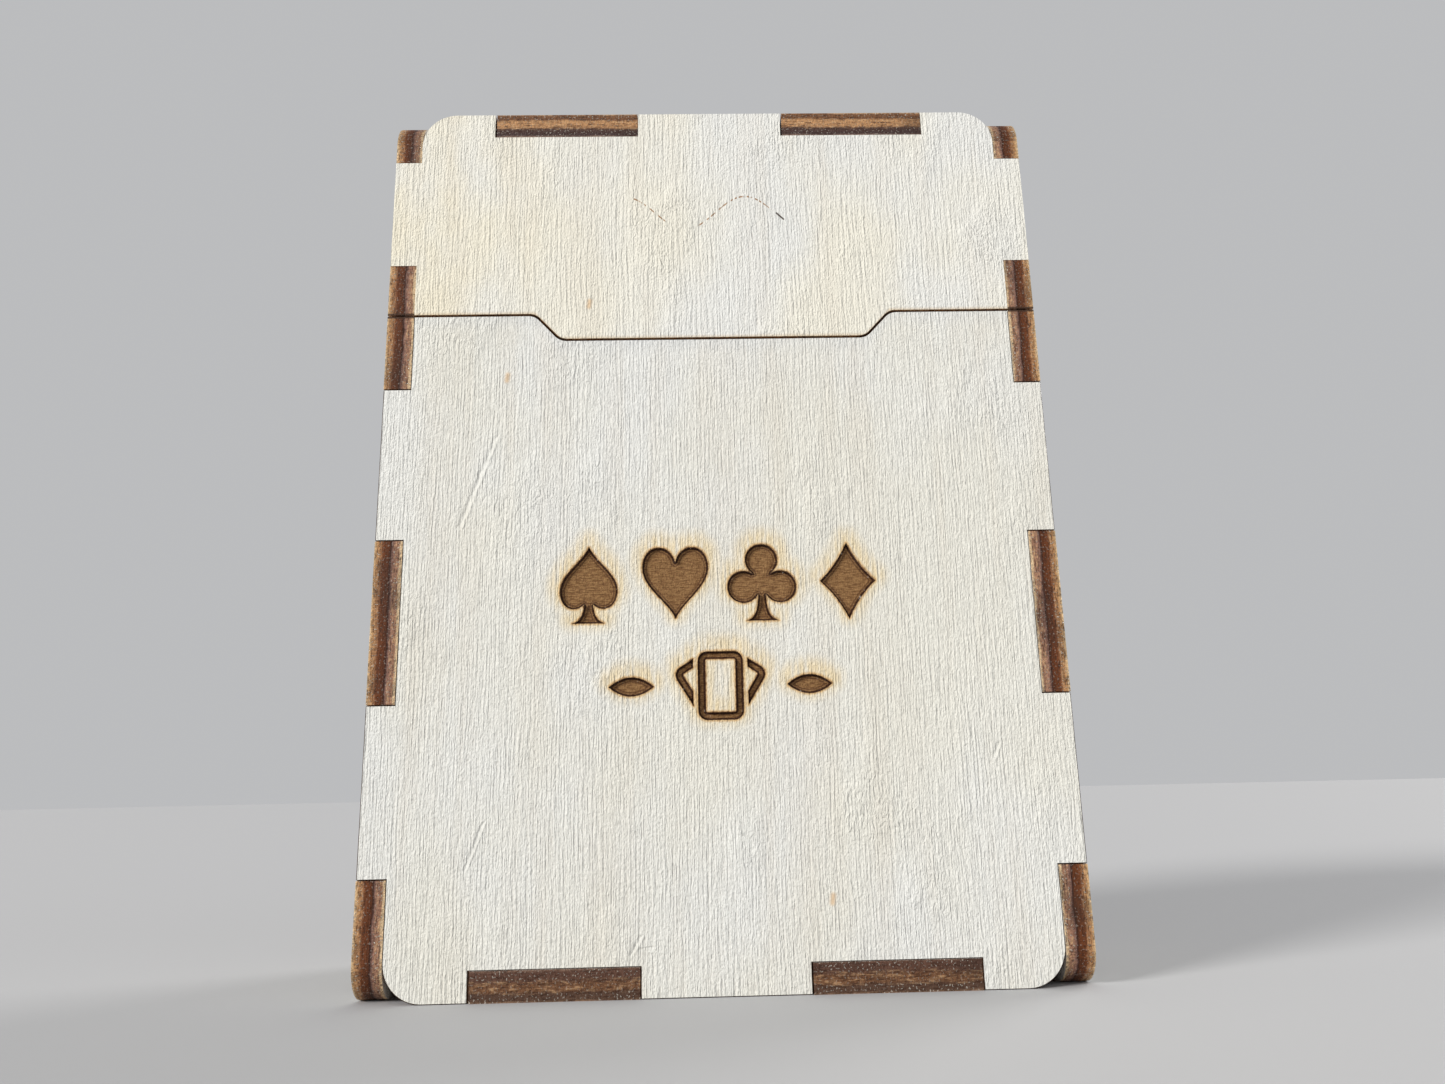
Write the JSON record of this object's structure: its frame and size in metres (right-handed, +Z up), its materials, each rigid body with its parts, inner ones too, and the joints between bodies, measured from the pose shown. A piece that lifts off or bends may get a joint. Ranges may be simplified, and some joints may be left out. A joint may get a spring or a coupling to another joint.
{
  "type": "card deck box",
  "caption": "Flip-top deck box of finger-jointed plywood with rounded corners, a tongued front seam, brass butt hinges on the back and an engraved suit ornament.",
  "frame": {"origin": "centre of the bottom face of the closed box", "axes": "+Z up, from the bottom panel to the lid; +X to the right of someone facing the engraved front; +Y from the front to the hinged back"},
  "size_m": [0.074, 0.0324, 0.099],
  "materials": {
    "body_veneer": "bare sanded birch or basswood plywood, pale, with laser-burnt brown edges",
    "lid_veneer": "bare plywood of a slightly warmer sheet, with laser-burnt brown edges",
    "hinge_brass": "rolled sheet, satin",
    "pin_brass": "drawn wire, peened at both ends",
    "nail_brass": "polished domed heads"
  },
  "bodies": {
    "box_body": {"body_front_panel": "body_veneer", "body_back_panel": "body_veneer", "body_left_panel": "body_veneer", "body_right_panel": "body_veneer", "body_bottom_panel": "body_veneer", "left_hinge_body_leaf": "hinge_brass", "left_hinge_pin": "pin_brass", "left_hinge_body_nails": "nail_brass", "right_hinge_body_leaf": "hinge_brass", "right_hinge_pin": "pin_brass", "right_hinge_body_nails": "nail_brass"},
    "lid": {"lid_front_panel": "lid_veneer", "lid_back_panel": "lid_veneer", "lid_left_panel": "lid_veneer", "lid_right_panel": "lid_veneer", "lid_top_panel": "lid_veneer", "left_hinge_lid_leaf": "hinge_brass", "left_hinge_lid_nails": "nail_brass", "right_hinge_lid_leaf": "hinge_brass", "right_hinge_lid_nails": "nail_brass"}
  },
  "joints": [
    {"name": "lid_hinge", "type": "hinge", "parent": "box_body", "child": "lid", "pos_m": [0, 0.01624, 0.0731], "axis": [-1, 0, 0], "range_deg": [0, 180]}
  ]
}
